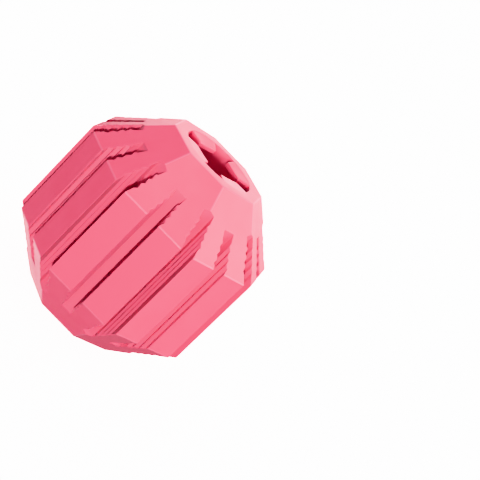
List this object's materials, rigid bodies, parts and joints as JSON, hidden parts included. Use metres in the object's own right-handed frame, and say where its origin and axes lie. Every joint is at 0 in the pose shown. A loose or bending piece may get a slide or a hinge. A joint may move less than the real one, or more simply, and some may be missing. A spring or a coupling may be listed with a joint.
{
  "type": "rubber chew toy",
  "caption": "Faceted hollow rubber chew ball with toothed slots down its sides and a round mouth closed by bending flaps that let treats out.",
  "frame": {"origin": "centre of the closed flat end that the toy stands on", "axes": "+Z along the toy's axis towards the mouth; -Y out of the middle of one side facet"},
  "size_m": [0.076, 0.076, 0.076],
  "materials": {
    "pink_rubber": "matte moulded pink rubber with a fine soft grain"
  },
  "bodies": {
    "toy": {"shell": "pink_rubber"},
    "flap_1": {"flap_1": "pink_rubber"},
    "flap_2": {"flap_2": "pink_rubber"},
    "flap_3": {"flap_3": "pink_rubber"},
    "flap_4": {"flap_4": "pink_rubber"}
  },
  "joints": [
    {"name": "flap_1_bend", "type": "hinge", "parent": "toy", "child": "flap_1", "pos_m": [0.00777, 0.0096, 0.07485], "axis": [-0.7771, 0.6293, 0], "range_deg": [-40, 40], "stiffness_Nm_per_rad": 0.0015},
    {"name": "flap_2_bend", "type": "hinge", "parent": "toy", "child": "flap_2", "pos_m": [-0.0096, 0.00777, 0.07485], "axis": [-0.6293, -0.7771, 0], "range_deg": [-40, 40], "stiffness_Nm_per_rad": 0.0015},
    {"name": "flap_3_bend", "type": "hinge", "parent": "toy", "child": "flap_3", "pos_m": [-0.00777, -0.0096, 0.07485], "axis": [0.7771, -0.6293, 0], "range_deg": [-40, 40], "stiffness_Nm_per_rad": 0.0015},
    {"name": "flap_4_bend", "type": "hinge", "parent": "toy", "child": "flap_4", "pos_m": [0.0096, -0.00777, 0.07485], "axis": [0.6293, 0.7771, 0], "range_deg": [-40, 40], "stiffness_Nm_per_rad": 0.0015}
  ]
}
